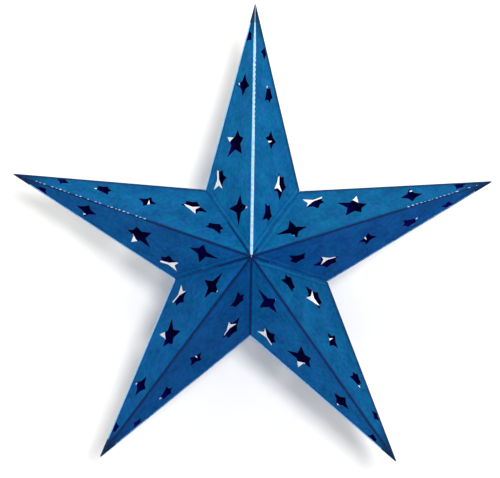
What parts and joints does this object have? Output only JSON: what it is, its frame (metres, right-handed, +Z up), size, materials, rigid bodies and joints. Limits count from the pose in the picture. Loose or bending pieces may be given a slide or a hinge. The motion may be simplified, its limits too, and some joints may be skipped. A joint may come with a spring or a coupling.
{
  "type": "folding paper star lantern",
  "caption": "Five-armed hollow star lantern of creased blue card, punched with small stars, that opens at the top arm and folds flat like a fan.",
  "frame": {"origin": "the top tip, where the star hangs, on its middle plane", "axes": "+Z up through the top arm, +X to the right seen from the front, the front apex towards -Y"},
  "size_m": [0.596, 0.2044, 0.5669],
  "materials": {
    "blue_card": "matte printed card",
    "card_inside": "matte card",
    "white_strip": "matte paper"
  },
  "bodies": {
    "top_arm_left_front": {"top_arm_left_front": "blue_card", "closure_strip": "white_strip"},
    "top_arm_left_back": {"top_arm_left_back": "blue_card"},
    "left_arm_upper_front": {"left_arm_upper_front": "blue_card", "valley_tab_upper_left_front": "card_inside"},
    "left_arm_upper_back": {"left_arm_upper_back": "blue_card", "valley_tab_upper_left_back": "card_inside"},
    "left_arm_lower_front": {"left_arm_lower_front": "blue_card"},
    "left_arm_lower_back": {"left_arm_lower_back": "blue_card", "ridge_tab_left_arm": "card_inside"},
    "lower_left_arm_outer_front": {"lower_left_arm_outer_front": "blue_card", "valley_tab_lower_left_front": "card_inside"},
    "lower_left_arm_outer_back": {"lower_left_arm_outer_back": "blue_card", "valley_tab_lower_left_back": "card_inside"},
    "lower_left_arm_inner_front": {"lower_left_arm_inner_front": "blue_card"},
    "lower_left_arm_inner_back": {"lower_left_arm_inner_back": "blue_card", "ridge_tab_lower_left_arm": "card_inside"},
    "lower_right_arm_inner_front": {"lower_right_arm_inner_front": "blue_card", "valley_tab_bottom_front": "card_inside"},
    "lower_right_arm_inner_back": {"lower_right_arm_inner_back": "blue_card", "valley_tab_bottom_back": "card_inside"},
    "lower_right_arm_outer_front": {"lower_right_arm_outer_front": "blue_card"},
    "lower_right_arm_outer_back": {"lower_right_arm_outer_back": "blue_card", "ridge_tab_lower_right_arm": "card_inside"},
    "right_arm_lower_front": {"right_arm_lower_front": "blue_card", "valley_tab_lower_right_front": "card_inside"},
    "right_arm_lower_back": {"right_arm_lower_back": "blue_card", "valley_tab_lower_right_back": "card_inside"},
    "right_arm_upper_front": {"right_arm_upper_front": "blue_card"},
    "right_arm_upper_back": {"right_arm_upper_back": "blue_card", "ridge_tab_right_arm": "card_inside"},
    "top_arm_right_front": {"top_arm_right_front": "blue_card", "valley_tab_upper_right_front": "card_inside", "closure_flap_front": "card_inside"},
    "top_arm_right_back": {"top_arm_right_back": "blue_card", "valley_tab_upper_right_back": "card_inside", "closure_flap_back": "card_inside"}
  },
  "joints": [
    {"name": "valley_crease_upper_left", "type": "hinge", "parent": "top_arm_left_front", "child": "left_arm_upper_front", "pos_m": [-0.02959, -0.05282, -0.27428], "axis": [-0.4054, 0.7241, 0.5579], "range_deg": [0, 107.01]},
    {"name": "ridge_crease_left_arm", "type": "hinge", "parent": "left_arm_upper_front", "child": "left_arm_lower_front", "pos_m": [-0.14979, -0.0525, -0.26633], "axis": [0.9023, -0.3162, -0.2932], "range_deg": [0, 69.5]},
    {"name": "valley_crease_lower_left", "type": "hinge", "parent": "left_arm_lower_front", "child": "lower_left_arm_outer_front", "pos_m": [-0.04787, -0.05282, -0.33056], "axis": [-0.6559, 0.7241, -0.2131], "range_deg": [0, 107.11]},
    {"name": "ridge_crease_lower_left_arm", "type": "hinge", "parent": "lower_left_arm_outer_front", "child": "lower_left_arm_inner_front", "pos_m": [-0.09258, -0.0525, -0.44242], "axis": [0.5576, -0.3162, 0.7675], "range_deg": [0, 69.5]},
    {"name": "valley_crease_bottom", "type": "hinge", "parent": "lower_left_arm_inner_front", "child": "lower_right_arm_inner_front", "pos_m": [0, -0.05282, -0.36534], "axis": [0, 0.7241, -0.6897], "range_deg": [0, 107.11]},
    {"name": "ridge_crease_lower_right_arm", "type": "hinge", "parent": "lower_right_arm_inner_front", "child": "lower_right_arm_outer_front", "pos_m": [0.09258, -0.0525, -0.44242], "axis": [-0.5576, -0.3162, 0.7675], "range_deg": [0, 69.5]},
    {"name": "valley_crease_lower_right", "type": "hinge", "parent": "lower_right_arm_outer_front", "child": "right_arm_lower_front", "pos_m": [0.04787, -0.05282, -0.33056], "axis": [0.6559, 0.7241, -0.2131], "range_deg": [0, 107.11]},
    {"name": "ridge_crease_right_arm", "type": "hinge", "parent": "right_arm_lower_front", "child": "right_arm_upper_front", "pos_m": [0.14979, -0.0525, -0.26633], "axis": [-0.9023, -0.3162, -0.2932], "range_deg": [0, 69.5]},
    {"name": "valley_crease_upper_right", "type": "hinge", "parent": "right_arm_upper_front", "child": "top_arm_right_front", "pos_m": [0.02959, -0.05282, -0.27428], "axis": [0.4054, 0.7241, 0.5579], "range_deg": [0, 107.11]},
    {"name": "outline_crease_top_arm_left", "type": "hinge", "parent": "top_arm_left_front", "child": "top_arm_left_back", "pos_m": [-0.02939, 0, -0.11705], "axis": [0.2435, 0, 0.9699], "range_deg": [0, 67.41]},
    {"name": "outline_crease_left_arm_upper", "type": "hinge", "parent": "left_arm_upper_front", "child": "left_arm_upper_back", "pos_m": [-0.17918, 0, -0.22588], "axis": [0.9977, 0, -0.0681], "range_deg": [0, 67.41]},
    {"name": "outline_crease_left_arm_lower", "type": "hinge", "parent": "left_arm_lower_front", "child": "left_arm_lower_back", "pos_m": [-0.19734, 0, -0.28178], "axis": [-0.8472, 0, 0.5313], "range_deg": [0, 67.41]},
    {"name": "outline_crease_lower_left_arm_outer", "type": "hinge", "parent": "lower_left_arm_outer_front", "child": "lower_left_arm_outer_back", "pos_m": [-0.14013, 0, -0.45787], "axis": [0.3731, 0, 0.9278], "range_deg": [0, 67.41]},
    {"name": "outline_crease_lower_left_arm_inner", "type": "hinge", "parent": "lower_left_arm_inner_front", "child": "lower_left_arm_inner_back", "pos_m": [-0.09258, 0, -0.49242], "axis": [-0.7671, 0, -0.6415], "range_deg": [0, 67.41]},
    {"name": "outline_crease_lower_right_arm_inner", "type": "hinge", "parent": "lower_right_arm_inner_front", "child": "lower_right_arm_inner_back", "pos_m": [0.09258, 0, -0.49242], "axis": [-0.7671, 0, 0.6415], "range_deg": [0, 67.41]},
    {"name": "outline_crease_lower_right_arm_outer", "type": "hinge", "parent": "lower_right_arm_outer_front", "child": "lower_right_arm_outer_back", "pos_m": [0.14013, 0, -0.45787], "axis": [0.3731, 0, -0.9278], "range_deg": [0, 67.41]},
    {"name": "outline_crease_right_arm_lower", "type": "hinge", "parent": "right_arm_lower_front", "child": "right_arm_lower_back", "pos_m": [0.19734, 0, -0.28178], "axis": [-0.8472, 0, -0.5313], "range_deg": [0, 67.41]},
    {"name": "outline_crease_right_arm_upper", "type": "hinge", "parent": "right_arm_upper_front", "child": "right_arm_upper_back", "pos_m": [0.17918, 0, -0.22588], "axis": [0.9977, 0, 0.0681], "range_deg": [0, 67.41]},
    {"name": "outline_crease_top_arm_right", "type": "hinge", "parent": "top_arm_right_front", "child": "top_arm_right_back", "pos_m": [0.02939, 0, -0.11705], "axis": [0.2435, 0, -0.9699], "range_deg": [0, 67.41]}
  ],
  "couplings": [
    {"joint": "ridge_crease_left_arm", "follows": "valley_crease_upper_left", "ratio": 0.64857},
    {"joint": "valley_crease_lower_left", "follows": "valley_crease_upper_left", "ratio": 1},
    {"joint": "ridge_crease_lower_left_arm", "follows": "valley_crease_upper_left", "ratio": 0.64857},
    {"joint": "valley_crease_bottom", "follows": "valley_crease_upper_left", "ratio": 1},
    {"joint": "ridge_crease_lower_right_arm", "follows": "valley_crease_upper_left", "ratio": 0.64857},
    {"joint": "valley_crease_lower_right", "follows": "valley_crease_upper_left", "ratio": 1},
    {"joint": "ridge_crease_right_arm", "follows": "valley_crease_upper_left", "ratio": 0.64857},
    {"joint": "valley_crease_upper_right", "follows": "valley_crease_upper_left", "ratio": 1},
    {"joint": "outline_crease_top_arm_left", "follows": "valley_crease_upper_left", "ratio": 0.62897},
    {"joint": "outline_crease_left_arm_upper", "follows": "valley_crease_upper_left", "ratio": 0.62897},
    {"joint": "outline_crease_left_arm_lower", "follows": "valley_crease_upper_left", "ratio": 0.62897},
    {"joint": "outline_crease_lower_left_arm_outer", "follows": "valley_crease_upper_left", "ratio": 0.62897},
    {"joint": "outline_crease_lower_left_arm_inner", "follows": "valley_crease_upper_left", "ratio": 0.62897},
    {"joint": "outline_crease_lower_right_arm_inner", "follows": "valley_crease_upper_left", "ratio": 0.62897},
    {"joint": "outline_crease_lower_right_arm_outer", "follows": "valley_crease_upper_left", "ratio": 0.62897},
    {"joint": "outline_crease_right_arm_lower", "follows": "valley_crease_upper_left", "ratio": 0.62897},
    {"joint": "outline_crease_right_arm_upper", "follows": "valley_crease_upper_left", "ratio": 0.62897},
    {"joint": "outline_crease_top_arm_right", "follows": "valley_crease_upper_left", "ratio": 0.62897}
  ]
}
